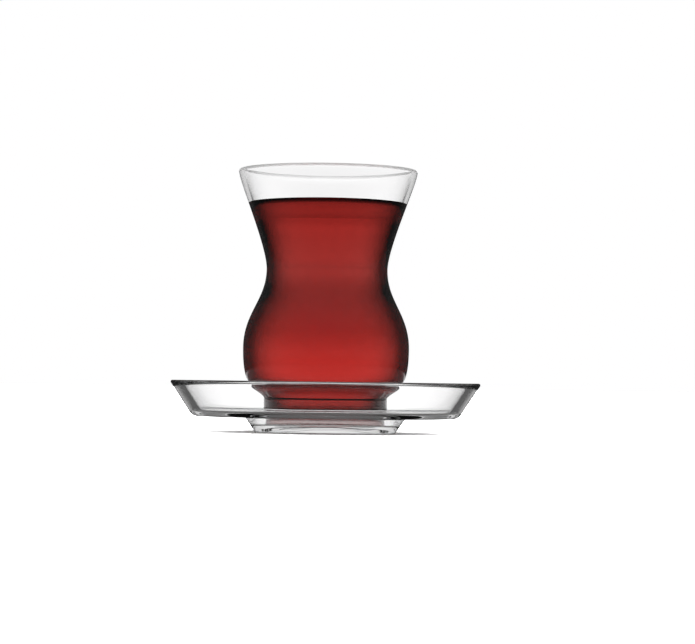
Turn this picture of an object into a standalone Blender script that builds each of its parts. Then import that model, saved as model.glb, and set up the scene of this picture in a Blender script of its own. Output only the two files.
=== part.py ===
"""A waisted glass full of tea, standing in the well of its pressed-glass saucer.

Metres, +Z up. The origin is on the table, under the middle of the saucer's foot. Every piece is turned:
its outline is a list of (radius, height) points, and a Screw modifier sweeps it about Z.
"""

import math

import bpy
from mathutils import Matrix, Vector

# Fineness: sides of every turned piece, chords of each curve, and the turn of one chord in a corner
SIDES = 48
CURVE_STEPS = 8
BOTTOM_STEPS = 6
PUNT_STEPS = 5
LIP_STEPS = 8
CORNER_STEP = math.radians(20)

# The air left between pieces that touch in the real object
GAP = 0.0003

# Glass, with heights from its own base. Its wall thickens evenly from the rim to the base, and each
# pull is how far a curve keeps the direction that it has at one of its ends
GLASS_HEIGHT = 0.0872
RIM_RADIUS = 0.0308
RIM_WALL = 0.0017
RIM_PULL = 0.0034
WAIST_RADIUS = 0.02085
WAIST_HEIGHT = 0.0528
WAIST_PULL_UP = 0.0078
WAIST_PULL_DOWN = 0.0109
BULB_RADIUS = 0.0286
BULB_HEIGHT = 0.0255
BULB_PULL_UP = 0.0122
BULB_PULL_DOWN = 0.0150
FOOT_RADIUS = 0.0212
FOOT_HEIGHT = 0.0092
BASE_WALL = 0.0024
FOOT_PULL = 0.0049
FOOT_SLOPE = math.radians(50)
FOOT_ROUNDING = 0.0015
RING_INNER_RADIUS = 0.0178
PUNT_DEPTH = 0.0012
PUNT_PULL_RING = 0.0036
PUNT_PULL_MIDDLE = 0.0090

# The glass's cavity: a flat floor, then a short curve that meets the wall just above the foot
CAVITY_FLOOR = 0.0052
CAVITY_FLAT_RADIUS = 0.0174
CAVITY_FLOOR_PULL = 0.0011
CAVITY_WALL_PULL = 0.0032

# Tea, up to its level above the glass's base
TEA_LEVEL = 0.0752

# Saucer, with heights above the table
SAUCER_HEIGHT = 0.0176
SAUCER_RADIUS = 0.0533
WALL_SLOPE = math.radians(57)
WALL_THICKNESS = 0.0035
LIP_ROUNDING_OUT = 0.0006
LIP_ROUNDING_IN = 0.0008
PLATE_TOP = 0.0077
PLATE_BOTTOM = 0.0052
PLATE_ROUNDING_IN = 0.0028
PLATE_ROUNDING_OUT = 0.0035
WELL_FLOOR = 0.0032
WELL_RADIUS_LOW = 0.0243
WELL_RADIUS_HIGH = 0.0252
WELL_ROUNDING_LOW = 0.0008
WELL_ROUNDING_HIGH = 0.0008
BASE_RADIUS_HIGH = 0.0278
BASE_RADIUS_LOW = 0.0242
BASE_ROUNDING_HIGH = 0.0015
BASE_ROUNDING_LOW = 0.0010
RECESS_RADIUS = 0.0208
RECESS_DEPTH = 0.0004
RECESS_ROUNDING = 0.0002

GLASS_COLOUR = (0.90, 0.93, 0.93, 1.0)
TEA_COLOUR = (0.30, 0.022, 0.020, 1.0)


def curve(start, start_pull, end_pull, end, steps=CURVE_STEPS):
    """A cubic curve as (point, direction) pairs. The pulls are its two inner control points."""
    controls = [Vector(p) for p in (start, start_pull, end_pull, end)]
    pairs = []
    for i in range(steps + 1):
        t = i / steps
        level = controls
        while len(level) > 2:
            level = [a.lerp(b, t) for a, b in zip(level, level[1:])]
        pairs.append((level[0].lerp(level[1], t), (level[1] - level[0]).normalized()))
    return pairs


def towards_axis(pair, distance):
    """The pair's point, moved square to its direction, to the side of the axis on a wall that runs down."""
    point, direction = pair
    return point + distance * Vector((direction.y, -direction.x))


def rounded(corners):
    """An outline through (radius, height, rounding) corners, with an arc wherever the rounding isn't 0."""
    outline = []
    for i, (radius, height, rounding) in enumerate(corners):
        corner = Vector((radius, height))
        if not rounding:
            outline.append(corner)
            continue
        back = (Vector(corners[i - 1][:2]) - corner).normalized()
        ahead = (Vector(corners[i + 1][:2]) - corner).normalized()
        opening = back.angle(ahead)
        centre = corner + (back + ahead).normalized() * rounding / math.sin(opening / 2)
        spoke = corner + back * rounding / math.tan(opening / 2) - centre
        turn = math.copysign(math.pi - opening, -back.cross(ahead))
        steps = max(2, round(abs(turn) / CORNER_STEP))
        for k in range(steps + 1):
            outline.append(centre + Matrix.Rotation(turn * k / steps, 2) @ spoke)
    return outline


def outer_wall():
    """The glass's outer wall from the rim down to the foot, as (point, direction) pairs."""
    rim = Vector((RIM_RADIUS, GLASS_HEIGHT - RIM_WALL / 2))
    waist = Vector((WAIST_RADIUS, WAIST_HEIGHT))
    bulb = Vector((BULB_RADIUS, BULB_HEIGHT))
    foot = Vector((FOOT_RADIUS, FOOT_HEIGHT))
    up = Vector((0, 1))
    shoulder = Vector((math.cos(FOOT_SLOPE), math.sin(FOOT_SLOPE)))
    flare = curve(rim, rim - up * RIM_PULL, waist + up * WAIST_PULL_UP, waist)
    body = curve(waist, waist - up * WAIST_PULL_DOWN, bulb + up * BULB_PULL_UP, bulb)
    base = curve(bulb, bulb - up * BULB_PULL_DOWN, foot + shoulder * FOOT_PULL, foot)
    return flare + body[1:] + base[1:]


def inner_wall():
    """The cavity's side from the rim down to the edge of its flat floor, as (point, direction) pairs."""
    wall = []
    for point, direction in outer_wall():
        thickness = RIM_WALL + (BASE_WALL - RIM_WALL) * (1 - point.y / GLASS_HEIGHT)
        wall.append((towards_axis((point, direction), thickness), direction))
    start, direction = wall[-1]
    floor = Vector((CAVITY_FLAT_RADIUS, CAVITY_FLOOR))
    leaving = start + direction * CAVITY_WALL_PULL
    arriving = floor + Vector((CAVITY_FLOOR_PULL, 0))
    bottom = curve(start, leaving, arriving, floor, BOTTOM_STEPS)
    return wall + bottom[1:]


def glass_outline():
    """From the middle of the cavity's floor, up inside, over the rim, down outside and back under the base."""
    inside = [point for point, _ in reversed(inner_wall())]
    outside = [point for point, _ in outer_wall()]
    lip_radius = RIM_WALL / 2
    lip_centre = Vector((RIM_RADIUS - lip_radius, GLASS_HEIGHT - lip_radius))
    angles = [math.pi * (1 - k / LIP_STEPS) for k in range(1, LIP_STEPS)]
    lip = [lip_centre + lip_radius * Vector((math.cos(a), math.sin(a))) for a in angles]
    base = rounded([
        (FOOT_RADIUS, FOOT_HEIGHT, 0),
        (FOOT_RADIUS, 0, FOOT_ROUNDING),
        (RING_INNER_RADIUS, 0, 0),
    ])
    ring = Vector((RING_INNER_RADIUS, 0))
    rise = Vector((RING_INNER_RADIUS - PUNT_PULL_RING, PUNT_DEPTH))
    level = Vector((PUNT_PULL_MIDDLE, PUNT_DEPTH))
    punt = [point for point, _ in curve(ring, rise, level, Vector((0, PUNT_DEPTH)), PUNT_STEPS)]
    return [Vector((0, CAVITY_FLOOR))] + inside + lip + outside + base[1:] + punt[1:]


def tea_outline():
    """The cavity below the tea's level, smaller by the gap, from the middle of the surface to the bottom's."""
    side = [towards_axis(pair, GAP) for pair in inner_wall()]
    first = next(i for i, point in enumerate(side) if point.y < TEA_LEVEL)
    above, below = side[first - 1], side[first]
    edge = above.lerp(below, (above.y - TEA_LEVEL) / (above.y - below.y))
    return [Vector((0, TEA_LEVEL)), edge] + side[first:] + [Vector((0, CAVITY_FLOOR + GAP))]


def saucer_outline():
    """From the middle of the well, out over the plate, up and over the lip, and back under to the axis."""
    lean = 1 / math.tan(WALL_SLOPE)
    # The lip's arc is tangent to the saucer's full radius, to its full height and to the wall's outer side
    arc = Vector((SAUCER_RADIUS - LIP_ROUNDING_OUT, SAUCER_HEIGHT - LIP_ROUNDING_OUT))
    touch = arc + LIP_ROUNDING_OUT * Vector((math.sin(WALL_SLOPE), -math.cos(WALL_SLOPE)))
    outer_top = touch.x + (SAUCER_HEIGHT - touch.y) * lean
    outer_low = touch.x - (touch.y - PLATE_BOTTOM) * lean
    across = WALL_THICKNESS / math.sin(WALL_SLOPE)
    inner_top = outer_top - across
    inner_low = inner_top - (SAUCER_HEIGHT - PLATE_TOP) * lean
    return rounded([
        (0, WELL_FLOOR, 0),
        (WELL_RADIUS_LOW, WELL_FLOOR, WELL_ROUNDING_LOW),
        (WELL_RADIUS_HIGH, PLATE_TOP, WELL_ROUNDING_HIGH),
        (inner_low, PLATE_TOP, PLATE_ROUNDING_IN),
        (inner_top, SAUCER_HEIGHT, LIP_ROUNDING_IN),
        (outer_top, SAUCER_HEIGHT, LIP_ROUNDING_OUT),
        (outer_low, PLATE_BOTTOM, PLATE_ROUNDING_OUT),
        (BASE_RADIUS_HIGH, PLATE_BOTTOM, BASE_ROUNDING_HIGH),
        (BASE_RADIUS_LOW, 0, BASE_ROUNDING_LOW),
        (RECESS_RADIUS, 0, RECESS_ROUNDING),
        (RECESS_RADIUS - RECESS_DEPTH, RECESS_DEPTH, RECESS_ROUNDING),
        (0, RECESS_DEPTH, 0),
    ])


def turned(name, outline, base_height, material, collection):
    """An object swept about Z from an outline that starts and ends on the axis."""
    mesh = bpy.data.meshes.new(name)
    vertices = [(point.x, 0, point.y) for point in outline]
    edges = [(i, i + 1) for i in range(len(outline) - 1)]
    mesh.from_pydata(vertices, edges, [])
    mesh.materials.append(material)
    piece = bpy.data.objects.new(name, mesh)
    piece.location.z = base_height
    collection.objects.link(piece)
    screw = piece.modifiers.new("turn", "SCREW")
    screw.axis = "Z"
    screw.steps = SIDES
    screw.render_steps = SIDES
    screw.use_merge_vertices = True
    screw.merge_threshold = 0.00001
    screw.use_smooth_shade = True
    return piece


def clear_material(name, colour, roughness, refraction):
    """A see-through material: clear glass, or a liquid tinted by its colour."""
    material = bpy.data.materials.new(name)
    material.use_nodes = True
    shader = material.node_tree.nodes["Principled BSDF"]
    shader.inputs["Base Color"].default_value = colour
    shader.inputs["Roughness"].default_value = roughness
    shader.inputs["Metallic"].default_value = 0.0
    shader.inputs["IOR"].default_value = refraction
    shader.inputs["Transmission Weight"].default_value = 1.0
    return material


def main():
    for old in list(bpy.data.objects):
        bpy.data.objects.remove(old, do_unlink=True)
    collection = bpy.data.collections.new("tea_glass")
    bpy.context.scene.collection.children.link(collection)

    drinking_glass = clear_material("drinking_glass", GLASS_COLOUR, 0.02, 1.52)
    pressed_glass = clear_material("pressed_glass", GLASS_COLOUR, 0.04, 1.52)
    black_tea = clear_material("black_tea", TEA_COLOUR, 0.0, 1.33)

    standing = WELL_FLOOR + GAP
    turned("saucer", saucer_outline(), 0, pressed_glass, collection)
    turned("glass", glass_outline(), standing, drinking_glass, collection)
    turned("tea", tea_outline(), standing, black_tea, collection)


main()
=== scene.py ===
"""Looks of a waisted tea glass, full of tea, on its pressed-glass saucer. Metres, +Z up."""

import math

import bpy
from mathutils import Matrix, Vector


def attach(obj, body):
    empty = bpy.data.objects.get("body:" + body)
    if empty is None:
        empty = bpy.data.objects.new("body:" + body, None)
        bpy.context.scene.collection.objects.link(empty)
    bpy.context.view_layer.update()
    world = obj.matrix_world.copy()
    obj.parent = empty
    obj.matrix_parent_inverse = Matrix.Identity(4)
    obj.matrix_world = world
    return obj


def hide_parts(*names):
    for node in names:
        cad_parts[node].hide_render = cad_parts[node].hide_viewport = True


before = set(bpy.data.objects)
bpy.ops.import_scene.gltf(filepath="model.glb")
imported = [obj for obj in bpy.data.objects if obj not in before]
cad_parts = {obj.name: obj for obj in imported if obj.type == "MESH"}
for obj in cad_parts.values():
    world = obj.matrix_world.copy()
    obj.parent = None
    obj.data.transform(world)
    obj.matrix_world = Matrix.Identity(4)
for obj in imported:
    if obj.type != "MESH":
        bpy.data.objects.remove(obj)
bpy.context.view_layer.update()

# Fineness of the turned surfaces
SIDES = 256
CURVE_STEPS = 40
BOTTOM_STEPS = 30
PUNT_STEPS = 16
LIP_STEPS = 24
MENISCUS_STEPS = 20
CORNER_STEP = math.radians(4)
FEWEST_CORNER_STEPS = 4
LONGEST_CHORD = 0.0012
TOLERANCE = 0.00001

# Glass, with heights from its own base, as in the solids
GLASS_HEIGHT = 0.0872
RIM_RADIUS = 0.0308
RIM_WALL = 0.0017
RIM_PULL = 0.0034
WAIST_RADIUS = 0.02085
WAIST_HEIGHT = 0.0528
WAIST_PULL_UP = 0.0078
WAIST_PULL_DOWN = 0.0109
BULB_RADIUS = 0.0286
BULB_HEIGHT = 0.0255
BULB_PULL_UP = 0.0122
BULB_PULL_DOWN = 0.0150
FOOT_RADIUS = 0.0212
FOOT_HEIGHT = 0.0092
BASE_WALL = 0.0024
FOOT_PULL = 0.0049
FOOT_SLOPE = math.radians(50)
FOOT_ROUNDING = 0.0015
RING_INNER_RADIUS = 0.0178
PUNT_DEPTH = 0.0012
PUNT_PULL_RING = 0.0036
PUNT_PULL_MIDDLE = 0.0090
CAVITY_FLOOR = 0.0052
CAVITY_FLAT_RADIUS = 0.0174
CAVITY_FLOOR_PULL = 0.0011
CAVITY_WALL_PULL = 0.0032

# Tea: its level, how far it reaches into the wall, and how it climbs the wall
TEA_LEVEL = 0.0752
TEA_OVERLAP = 0.00015
MENISCUS_RISE = 0.0009
MENISCUS_REACH = 0.0016
MENISCUS_SPAN = 0.0080

# Saucer
SAUCER_HEIGHT = 0.0176
SAUCER_RADIUS = 0.0533
WALL_SLOPE = math.radians(57)
WALL_THICKNESS = 0.0035
LIP_ROUNDING_OUT = 0.0006
LIP_ROUNDING_IN = 0.0008
PLATE_TOP = 0.0077
PLATE_BOTTOM = 0.0052
PLATE_ROUNDING_IN = 0.0028
PLATE_ROUNDING_OUT = 0.0035
WELL_FLOOR = 0.0032
WELL_RADIUS_LOW = 0.0243
WELL_RADIUS_HIGH = 0.0252
WELL_ROUNDING_LOW = 0.0008
WELL_ROUNDING_HIGH = 0.0008
BASE_RADIUS_HIGH = 0.0278
BASE_RADIUS_LOW = 0.0242
BASE_ROUNDING_HIGH = 0.0015
BASE_ROUNDING_LOW = 0.0010
RECESS_RADIUS = 0.0208
RECESS_DEPTH = 0.0004
RECESS_ROUNDING = 0.0002
GAP = 0.0003

# Camera, as the photograph was taken: far away, just above the saucer's rim
CAMERA_DISTANCE = 0.900
CAMERA_HEIGHT = 0.0176
CAMERA_LENS = 135.2
CAMERA_SENSOR = 36
CAMERA_NEAR = 0.05
CAMERA_FAR = 50
CAMERA_PITCH = math.radians(1.317)
CAMERA_YAW = math.radians(-0.463)
CAMERA_ROLL = math.radians(0.75)

# Glass as a material. Its lights are shares of the light that come through; the saucer's grey edge is
# painted shade, standing in for darker surroundings seen through glass at a slant. Its dull parts mirror
# little: the wall below the tea's edge, and the foot's outside.
GLASS_INDEX = 1.52
GLASS_LIGHT = 0.95
GLASS_EDGE_FROM = 0.80
GLASS_EDGE_TO = 1.0
GLASS_EDGE_PAINTED_SHADE = 0.3
RIM_LIGHT = 1.0
RIM_ROUGHNESS = 0.8
DULL_REFLECTION = 0.1
DULL_ABOVE_FOOT = 0.0004
WAVE_SIZE = 0.012
WAVE_HEIGHT = 0.00003

# Tea as a material. Its shades are painted light and shade by height, standing in for how the waisted glass
# bends the light: pairs of height above the table and share of the light. Its sides get painted shade, dark
# where they are seen at a slant, and its level surfaces don't: the last two numbers tell them apart.
TEA_INDEX = 1.335
TEA_ABSORPTION = (0.94, 0.51, 0.48, 1.0)
TEA_DENSITY = 80.0
TEA_TINT = (0.82, 0.26, 0.235)
TEA_PAINTED_SHADES = (
    (0.0095, 0.35), (0.0125, 0.50), (0.0165, 0.66), (0.0215, 0.95), (0.0265, 0.67), (0.0335, 0.48),
    (0.044, 0.40), (0.0562, 0.46), (0.060, 0.60), (0.071, 0.60), (0.075, 0.66), (0.079, 0.42),
)
TEA_REFLECTION = 0.2
TEA_EDGE_FROM = 0.06
TEA_EDGE_TO = 0.24
TEA_EDGE_PAINTED_SHADE = 0.02
TEA_SIDE_UP_TO = 0.80
TEA_FLAT_FROM = 0.97

# White table
FLOOR_REACH = 6.0
FLOOR_GREY = 0.9
FLOOR_ROUGHNESS = 0.9

# Studio: its brightness straight behind the pieces and on the table, and pairs of degrees above the
# horizon and brightness for light that only came through the pieces, that was mirrored on their outside
# or inside their walls, or that was mirrored inside the tea, as under its surface
BACKDROP = 1.0
FLOOR_LIGHT = 7.0
SEEN_THROUGH = (
    (-25, 1.0), (-16, 1.0), (-6, 1.08), (-3.5, 1.2), (2.5, 1.2), (4.5, 1.0), (9, 1.0), (17, 0.97),
)
REFLECTED = ((20, 0.04), (55, 0.12), (80, 0.8))
INSIDE_WALLS = ((-9, 0.12), (-5, 0.85), (60, 0.85))
UNDER_SURFACE = (
    (-22, 0.1), (-14, 0.25), (-9, 0.38), (-6.5, 0.70), (12, 0.9), (24, 0.3), (50, 0.3), (68, 1.2),
)

# What counts of mirrored or crossed surfaces are compared with: at least one, or enough to be in the tea
ONCE = 0.5
INTO_THE_TEA = 4.5

# How often light may bounce in all, and how often it may be mirrored
BOUNCES = 32
MIRROR_BOUNCES = 8

# A Mix node's sockets by its kind of data: first value, second value and result
MIX_SOCKETS = {"FLOAT": (2, 3, 0), "RGBA": (6, 7, 2)}


def curve(start, start_pull, end_pull, end, steps=CURVE_STEPS):
    """A cubic curve as (point, direction) pairs. The pulls are its two inner control points."""
    controls = [Vector(p) for p in (start, start_pull, end_pull, end)]
    pairs = []
    for i in range(steps + 1):
        t = i / steps
        level = controls
        while len(level) > 2:
            level = [a.lerp(b, t) for a, b in zip(level, level[1:])]
        pairs.append((level[0].lerp(level[1], t), (level[1] - level[0]).normalized()))
    return pairs


def towards_axis(pair, distance):
    """The pair's point, moved square to its direction, to the side of the axis on a wall that runs down."""
    point, direction = pair
    return point + distance * Vector((direction.y, -direction.x))


def rounded(corners):
    """An outline through (radius, height, rounding) corners, with an arc wherever the rounding isn't 0."""
    outline = []
    for i, (radius, height, rounding) in enumerate(corners):
        corner = Vector((radius, height))
        if not rounding:
            outline.append(corner)
            continue
        back = (Vector(corners[i - 1][:2]) - corner).normalized()
        ahead = (Vector(corners[i + 1][:2]) - corner).normalized()
        opening = back.angle(ahead)
        centre = corner + (back + ahead).normalized() * rounding / math.sin(opening / 2)
        spoke = corner + back * rounding / math.tan(opening / 2) - centre
        turn = math.copysign(math.pi - opening, -back.cross(ahead))
        steps = max(FEWEST_CORNER_STEPS, round(abs(turn) / CORNER_STEP))
        for k in range(steps + 1):
            outline.append(centre + Matrix.Rotation(turn * k / steps, 2) @ spoke)
    return outline


def outer_wall():
    """The glass's outer wall from the rim down to the foot, as (point, direction) pairs."""
    rim = Vector((RIM_RADIUS, GLASS_HEIGHT - RIM_WALL / 2))
    waist = Vector((WAIST_RADIUS, WAIST_HEIGHT))
    bulb = Vector((BULB_RADIUS, BULB_HEIGHT))
    foot = Vector((FOOT_RADIUS, FOOT_HEIGHT))
    up = Vector((0, 1))
    shoulder = Vector((math.cos(FOOT_SLOPE), math.sin(FOOT_SLOPE)))
    flare = curve(rim, rim - up * RIM_PULL, waist + up * WAIST_PULL_UP, waist)
    body = curve(waist, waist - up * WAIST_PULL_DOWN, bulb + up * BULB_PULL_UP, bulb)
    base = curve(bulb, bulb - up * BULB_PULL_DOWN, foot + shoulder * FOOT_PULL, foot)
    return flare + body[1:] + base[1:]


def inner_wall():
    """The cavity's side from the rim down to the edge of its flat floor, as (point, direction) pairs."""
    wall = []
    for point, direction in outer_wall():
        thickness = RIM_WALL + (BASE_WALL - RIM_WALL) * (1 - point.y / GLASS_HEIGHT)
        wall.append((towards_axis((point, direction), thickness), direction))
    start, direction = wall[-1]
    floor = Vector((CAVITY_FLAT_RADIUS, CAVITY_FLOOR))
    leaving = start + direction * CAVITY_WALL_PULL
    arriving = floor + Vector((CAVITY_FLOOR_PULL, 0))
    bottom = curve(start, leaving, arriving, floor, BOTTOM_STEPS)
    return wall + bottom[1:]


def glass_outline():
    """From the middle of the cavity's floor, up inside, over the rim, down and back under the base."""
    inside = [point for point, _ in reversed(inner_wall())]
    outside = [point for point, _ in outer_wall()]
    lip_radius = RIM_WALL / 2
    lip_centre = Vector((RIM_RADIUS - lip_radius, GLASS_HEIGHT - lip_radius))
    angles = [math.pi * (1 - k / LIP_STEPS) for k in range(1, LIP_STEPS)]
    lip = [lip_centre + lip_radius * Vector((math.cos(a), math.sin(a))) for a in angles]
    base = rounded([
        (FOOT_RADIUS, FOOT_HEIGHT, 0),
        (FOOT_RADIUS, 0, FOOT_ROUNDING),
        (RING_INNER_RADIUS, 0, 0),
    ])
    ring = Vector((RING_INNER_RADIUS, 0))
    rise = Vector((RING_INNER_RADIUS - PUNT_PULL_RING, PUNT_DEPTH))
    level = Vector((PUNT_PULL_MIDDLE, PUNT_DEPTH))
    punt = [point for point, _ in curve(ring, rise, level, Vector((0, PUNT_DEPTH)), PUNT_STEPS)]
    return [Vector((0, CAVITY_FLOOR))] + inside + lip + outside + base[1:] + punt[1:]


def tea_outline():
    """From the middle of the tea's surface, up the meniscus and down the wall to the bottom's middle."""
    side = [towards_axis(pair, -TEA_OVERLAP) for pair in inner_wall()]
    top = TEA_LEVEL + MENISCUS_RISE
    first = next(i for i, point in enumerate(side) if point.y < top)
    above, below = side[first - 1], side[first]
    edge = above.lerp(below, (above.y - top) / (above.y - below.y))
    surface = [Vector((0, TEA_LEVEL))]
    for k in range(MENISCUS_STEPS):
        away = MENISCUS_SPAN * (1 - k / MENISCUS_STEPS) ** 2
        rise = MENISCUS_RISE * math.exp(-away / MENISCUS_REACH)
        surface.append(Vector((edge.x - away, TEA_LEVEL + rise)))
    return surface + [edge] + side[first:] + [Vector((0, CAVITY_FLOOR - TEA_OVERLAP))]


def saucer_outline():
    """From the middle of the well, out over the plate, up and over the lip, and back under to the axis."""
    lean = 1 / math.tan(WALL_SLOPE)
    arc = Vector((SAUCER_RADIUS - LIP_ROUNDING_OUT, SAUCER_HEIGHT - LIP_ROUNDING_OUT))
    touch = arc + LIP_ROUNDING_OUT * Vector((math.sin(WALL_SLOPE), -math.cos(WALL_SLOPE)))
    outer_top = touch.x + (SAUCER_HEIGHT - touch.y) * lean
    outer_low = touch.x - (touch.y - PLATE_BOTTOM) * lean
    across = WALL_THICKNESS / math.sin(WALL_SLOPE)
    inner_top = outer_top - across
    inner_low = inner_top - (SAUCER_HEIGHT - PLATE_TOP) * lean
    return rounded([
        (0, WELL_FLOOR, 0),
        (WELL_RADIUS_LOW, WELL_FLOOR, WELL_ROUNDING_LOW),
        (WELL_RADIUS_HIGH, PLATE_TOP, WELL_ROUNDING_HIGH),
        (inner_low, PLATE_TOP, PLATE_ROUNDING_IN),
        (inner_top, SAUCER_HEIGHT, LIP_ROUNDING_IN),
        (outer_top, SAUCER_HEIGHT, LIP_ROUNDING_OUT),
        (outer_low, PLATE_BOTTOM, PLATE_ROUNDING_OUT),
        (BASE_RADIUS_HIGH, PLATE_BOTTOM, BASE_ROUNDING_HIGH),
        (BASE_RADIUS_LOW, 0, BASE_ROUNDING_LOW),
        (RECESS_RADIUS, 0, RECESS_ROUNDING),
        (RECESS_RADIUS - RECESS_DEPTH, RECESS_DEPTH, RECESS_ROUNDING),
        (0, RECESS_DEPTH, 0),
    ])


def is_rim(point):
    """Whether a point of the glass's outline lies on the rounded rim."""
    return point.y > GLASS_HEIGHT - RIM_WALL / 2


def is_dull(point):
    """Whether a point of the glass's outline mirrors little: on the wall below the tea's edge, or outside
    on the foot."""
    if point.x > FOOT_RADIUS - TOLERANCE and point.y < FOOT_HEIGHT + DULL_ABOVE_FOOT:
        return True
    if point.y > TEA_LEVEL or point.y < CAVITY_FLOOR - TOLERANCE:
        return False
    outside = min(outer_wall(), key=lambda pair: abs(pair[0].y - point.y))[0]
    return point.x < outside.x - RIM_WALL / 2


def with_short_chords(outline):
    """The outline with its long straight runs cut up, so that smooth shading stays flat along them."""
    points = [outline[0]]
    for start, end in zip(outline, outline[1:]):
        parts = math.ceil((end - start).length / LONGEST_CHORD)
        points += [start.lerp(end, k / parts) for k in range(1, parts + 1)]
    return points


def turned(name, outline, base_height, material, **marks):
    """A mesh swept about Z from an outline that starts and ends on the axis. Each mark is a test on the
    outline's points, kept in the mesh as 0 or 1 under the mark's name."""
    outline = with_short_chords(outline)
    vertices = [(0, 0, outline[0].y + base_height)]
    for point in outline[1:-1]:
        for k in range(SIDES):
            angle = 2 * math.pi * k / SIDES
            vertices.append((point.x * math.cos(angle), point.x * math.sin(angle), point.y + base_height))
    vertices.append((0, 0, outline[-1].y + base_height))
    last = len(vertices) - 1
    inner_end = 1 + (len(outline) - 3) * SIDES
    faces = []
    for k in range(SIDES):
        n = (k + 1) % SIDES
        faces.append((0, 1 + k, 1 + n))
        for a in range(1, inner_end, SIDES):
            b = a + SIDES
            faces.append((a + k, b + k, b + n, a + n))
        faces.append((inner_end + k, last, inner_end + n))
    mesh = bpy.data.meshes.new(name)
    mesh.from_pydata(vertices, [], faces)
    mesh.shade_smooth()
    mesh.materials.append(material)
    for mark, test in marks.items():
        along = [float(test(point)) for point in outline]
        values = [along[0]] + [value for value in along[1:-1] for _ in range(SIDES)] + [along[-1]]
        mesh.attributes.new(mark, "FLOAT", "POINT").data.foreach_set("value", values)
    piece = bpy.data.objects.new(name, mesh)
    bpy.context.scene.collection.objects.link(piece)
    return piece


def connect(owner, value, socket):
    """Puts a number or colour on a socket of a material or world, or links a node's output to it."""
    if isinstance(value, bpy.types.NodeSocket):
        owner.node_tree.links.new(value, socket)
    else:
        socket.default_value = value


def add_node(owner, kind, **inputs):
    """A new node in the material or world, with values or links on its named inputs."""
    node = owner.node_tree.nodes.new(kind)
    for name, value in inputs.items():
        connect(owner, value, node.inputs[name.replace("_", " ")])
    return node


def compute(owner, operation, *values):
    """What a Math node makes of one or two numbers."""
    node = add_node(owner, "ShaderNodeMath")
    node.operation = operation
    for value, socket in zip(values, node.inputs):
        connect(owner, value, socket)
    return node.outputs[0]


def smooth_step(owner, value, low, high, at_low=0.0, at_high=1.0):
    """A number that goes smoothly from at_low to at_high as the value goes from low to high."""
    node = add_node(owner, "ShaderNodeMapRange", Value=value, From_Min=low, From_Max=high,
                    To_Min=at_low, To_Max=at_high)
    node.interpolation_type = "SMOOTHSTEP"
    return node.outputs["Result"]


def mixed(owner, data_type, share, first, second, blend="MIX"):
    """The first number or colour, mixed with the share's worth of the second."""
    node = add_node(owner, "ShaderNodeMix", Factor=share)
    node.data_type = data_type
    node.blend_type = blend
    first_socket, second_socket, result = MIX_SOCKETS[data_type]
    connect(owner, first, node.inputs[first_socket])
    connect(owner, second, node.inputs[second_socket])
    return node.outputs[result]


def grey(light):
    """A grey of the given lightness."""
    return (light, light, light, 1)


def set_looks(material, **inputs):
    """Puts values or links on the named inputs of the material's shader."""
    shader = material.node_tree.nodes["Principled BSDF"]
    for name, value in inputs.items():
        connect(material, value, shader.inputs[name.replace("_", " ")])


def clear_material(name, index):
    """Clear glass or liquid: all light is let through."""
    material = bpy.data.materials.new(name)
    material.use_nodes = True
    set_looks(material, Base_Color=grey(1), Roughness=0.0, IOR=index, Transmission_Weight=1.0)
    return material


def seen_at_slant(material, low, high):
    """0 where the surface is seen squarely, and 1 where it is seen at a slant, as along its outline."""
    facing = add_node(material, "ShaderNodeLayerWeight", Blend=0.5).outputs["Facing"]
    return smooth_step(material, facing, low, high)


def wavy_glass(name):
    """Clear glass whose surface is a little wavy."""
    material = clear_material(name, GLASS_INDEX)
    place = add_node(material, "ShaderNodeTexCoord").outputs["Object"]
    noise = add_node(material, "ShaderNodeTexNoise", Vector=place, Scale=1 / WAVE_SIZE, Detail=1.0)
    bump = add_node(material, "ShaderNodeBump", Strength=1.0, Distance=WAVE_HEIGHT, Height=noise.outputs[0])
    set_looks(material, Normal=bump.outputs["Normal"])
    return material


def pressed_glass():
    """The saucer's glass, with painted shade: grey where it is seen at a slant, as real glass in darker
    surroundings is.
    """
    material = wavy_glass("pressed_glass")
    # Painted shade: grey where the saucer is seen at a slant, standing in for darker surroundings.
    slant = seen_at_slant(material, GLASS_EDGE_FROM, GLASS_EDGE_TO)
    set_looks(material, Base_Color=mixed(material, "RGBA", slant, grey(1), grey(GLASS_EDGE_PAINTED_SHADE)))
    return material


def drinking_glass():
    """The tea glass's own, which scatters light at the rim and mirrors little where it is marked dull."""
    material = wavy_glass("drinking_glass")
    rim, dull = (add_node(material, "ShaderNodeAttribute") for _ in range(2))
    rim.attribute_name = "rim"
    dull.attribute_name = "dull"
    on_rim = rim.outputs["Fac"]
    set_looks(
        material,
        Roughness=smooth_step(material, on_rim, 0.0, 1.0, 0.0, RIM_ROUGHNESS),
        Base_Color=smooth_step(material, on_rim, 0.0, 1.0, GLASS_LIGHT, RIM_LIGHT),
        Specular_Tint=mixed(material, "RGBA", dull.outputs["Fac"], grey(1), grey(DULL_REFLECTION)),
    )
    return material


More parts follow.
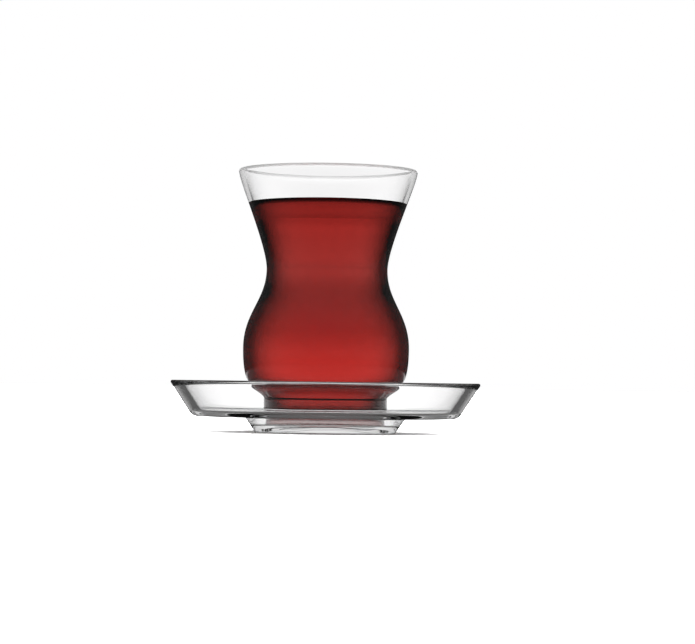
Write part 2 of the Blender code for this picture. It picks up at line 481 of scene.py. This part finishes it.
def black_tea():
    """Black tea: dark red, with painted shade nearly black along its sides' edges, and painted light and
    shade by height, standing in for how a waisted glass bends the light."""
    material = clear_material("black_tea", TEA_INDEX)
    volume = add_node(material, "ShaderNodeVolumeAbsorption", Color=TEA_ABSORPTION, Density=TEA_DENSITY)
    output = material.node_tree.nodes["Material Output"]
    connect(material, volume.outputs["Volume"], output.inputs["Volume"])

    # Painted shade: the sides go nearly black where they are seen at a slant, standing in for dark
    # surroundings seen through the tea.
    slant = seen_at_slant(material, TEA_EDGE_FROM, TEA_EDGE_TO)
    normal = add_node(material, "ShaderNodeNewGeometry").outputs["Normal"]
    upward = add_node(material, "ShaderNodeSeparateXYZ", Vector=normal).outputs["Z"]
    flatness = compute(material, "ABSOLUTE", upward)
    side = smooth_step(material, flatness, TEA_SIDE_UP_TO, TEA_FLAT_FROM, 1.0, 0.0)
    edge = compute(material, "MULTIPLY", slant, side)
    painted_edge_shade = mixed(material, "RGBA", edge, grey(1), grey(TEA_EDGE_PAINTED_SHADE))

    place = add_node(material, "ShaderNodeTexCoord").outputs["Object"]
    height = add_node(material, "ShaderNodeSeparateXYZ", Vector=place).outputs["Z"]
    # Painted light and shade by height: the tea's tint times a ramp of painted shades, standing in for how
    # the waisted glass bends the light.
    lowest, highest = TEA_PAINTED_SHADES[0][0], TEA_PAINTED_SHADES[-1][0]
    share = add_node(material, "ShaderNodeMapRange", Value=height, From_Min=lowest, From_Max=highest)
    painted_shade_ramp = add_node(material, "ShaderNodeValToRGB", Fac=share.outputs["Result"])
    painted_shade_ramp.color_ramp.interpolation = "EASE"
    stops = painted_shade_ramp.color_ramp.elements
    for _ in TEA_PAINTED_SHADES[2:]:
        stops.new(0.5)
    for stop, (level, shade) in zip(stops, TEA_PAINTED_SHADES):
        stop.position = (level - lowest) / (highest - lowest)
        stop.color = (*(shade * part for part in TEA_TINT), 1)

    colour = mixed(material, "RGBA", 1.0, painted_edge_shade, painted_shade_ramp.outputs["Color"], "MULTIPLY")
    set_looks(material, Base_Color=colour, Specular_Tint=grey(TEA_REFLECTION))
    return material


def make_camera():
    """A long lens at the height of the saucer's rim, turned a little so that the glass is off centre."""
    data = bpy.data.cameras.new("camera")
    data.lens = CAMERA_LENS
    data.sensor_width = CAMERA_SENSOR
    data.clip_start = CAMERA_NEAR
    data.clip_end = CAMERA_FAR
    camera = bpy.data.objects.new("camera", data)
    level = Matrix.Rotation(math.pi / 2, 4, "X")
    aim = (Matrix.Rotation(CAMERA_YAW, 4, "Z") @ Matrix.Rotation(CAMERA_PITCH, 4, "X") @ level
           @ Matrix.Rotation(CAMERA_ROLL, 4, "Z"))
    camera.matrix_world = Matrix.Translation((0, -CAMERA_DISTANCE, CAMERA_HEIGHT)) @ aim
    bpy.context.scene.collection.objects.link(camera)
    bpy.context.scene.camera = camera


def make_floor():
    """A wide white table, which runs on out of sight. The glass neither shows nor mirrors it."""
    material = bpy.data.materials.new("white_table")
    material.use_nodes = True
    set_looks(material, Base_Color=grey(FLOOR_GREY), Roughness=FLOOR_ROUGHNESS, Specular_IOR_Level=0.0)
    mesh = bpy.data.meshes.new("floor")
    corners = [(x * FLOOR_REACH, y * FLOOR_REACH, 0) for x, y in ((-1, -1), (1, -1), (1, 1), (-1, 1))]
    mesh.from_pydata(corners, [], [(0, 1, 2, 3)])
    mesh.materials.append(material)
    floor = bpy.data.objects.new("floor", mesh)
    bpy.context.scene.collection.objects.link(floor)
    floor.visible_transmission = False
    floor.visible_glossy = False


def make_studio():
    """A soft studio that is bright behind the glass and dim elsewhere, by height and by the light's path."""
    world = bpy.data.worlds.new("studio")
    world.use_nodes = True
    world.node_tree.nodes.clear()

    direction = add_node(world, "ShaderNodeTexCoord").outputs["Generated"]
    upward = add_node(world, "ShaderNodeSeparateXYZ", Vector=direction).outputs["Z"]
    above = compute(world, "MULTIPLY", compute(world, "ARCSINE", upward), 180 / math.pi)
    path = add_node(world, "ShaderNodeLightPath").outputs

    def by_height(steps):
        result = steps[0][1]
        for (low, at_low), (high, at_high) in zip(steps, steps[1:]):
            change = smooth_step(world, above, low, high, 0.0, at_high - at_low)
            result = compute(world, "ADD", change, result)
        return result

    def choose(test, no, yes):
        return mixed(world, "FLOAT", test, no, yes)

    crossed = path["Transmission Depth"]
    inside = compute(world, "GREATER_THAN", crossed, ONCE)
    in_tea = compute(world, "GREATER_THAN", crossed, INTO_THE_TEA)
    is_mirrored = compute(world, "GREATER_THAN", path["Glossy Depth"], ONCE)
    mirrored = choose(inside, by_height(REFLECTED), by_height(INSIDE_WALLS))
    mirrored = choose(in_tea, mirrored, by_height(UNDER_SURFACE))
    light = choose(is_mirrored, by_height(SEEN_THROUGH), mirrored)
    light = choose(path["Is Diffuse Ray"], light, FLOOR_LIGHT)
    light = choose(path["Is Camera Ray"], light, BACKDROP)
    background = add_node(world, "ShaderNodeBackground", Color=grey(1), Strength=light)
    add_node(world, "ShaderNodeOutputWorld", Surface=background.outputs[0])
    bpy.context.scene.world = world


def main():
    """The three pieces in place of their solids, with the camera, the table and the studio."""
    scene = bpy.context.scene
    scene.view_settings.view_transform = "Standard"
    scene.cycles.max_bounces = BOUNCES
    scene.cycles.transmission_bounces = BOUNCES
    scene.cycles.glossy_bounces = MIRROR_BOUNCES
    scene.cycles.use_denoising = True
    scene.cycles.denoising_input_passes = "RGB_ALBEDO"
    standing = WELL_FLOOR + GAP

    saucer = turned("saucer_glass", saucer_outline(), 0, pressed_glass())
    glass = turned("tea_glass", glass_outline(), standing, drinking_glass(), rim=is_rim, dull=is_dull)
    tea = turned("black_tea", tea_outline(), standing, black_tea())
    for piece, node, slot in ((saucer, "saucer", "pressed_glass"), (glass, "glass", "drinking_glass"),
                              (tea, "tea", "black_tea")):
        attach(piece, "root")
        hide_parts(node)

    make_camera()
    make_floor()
    make_studio()


main()
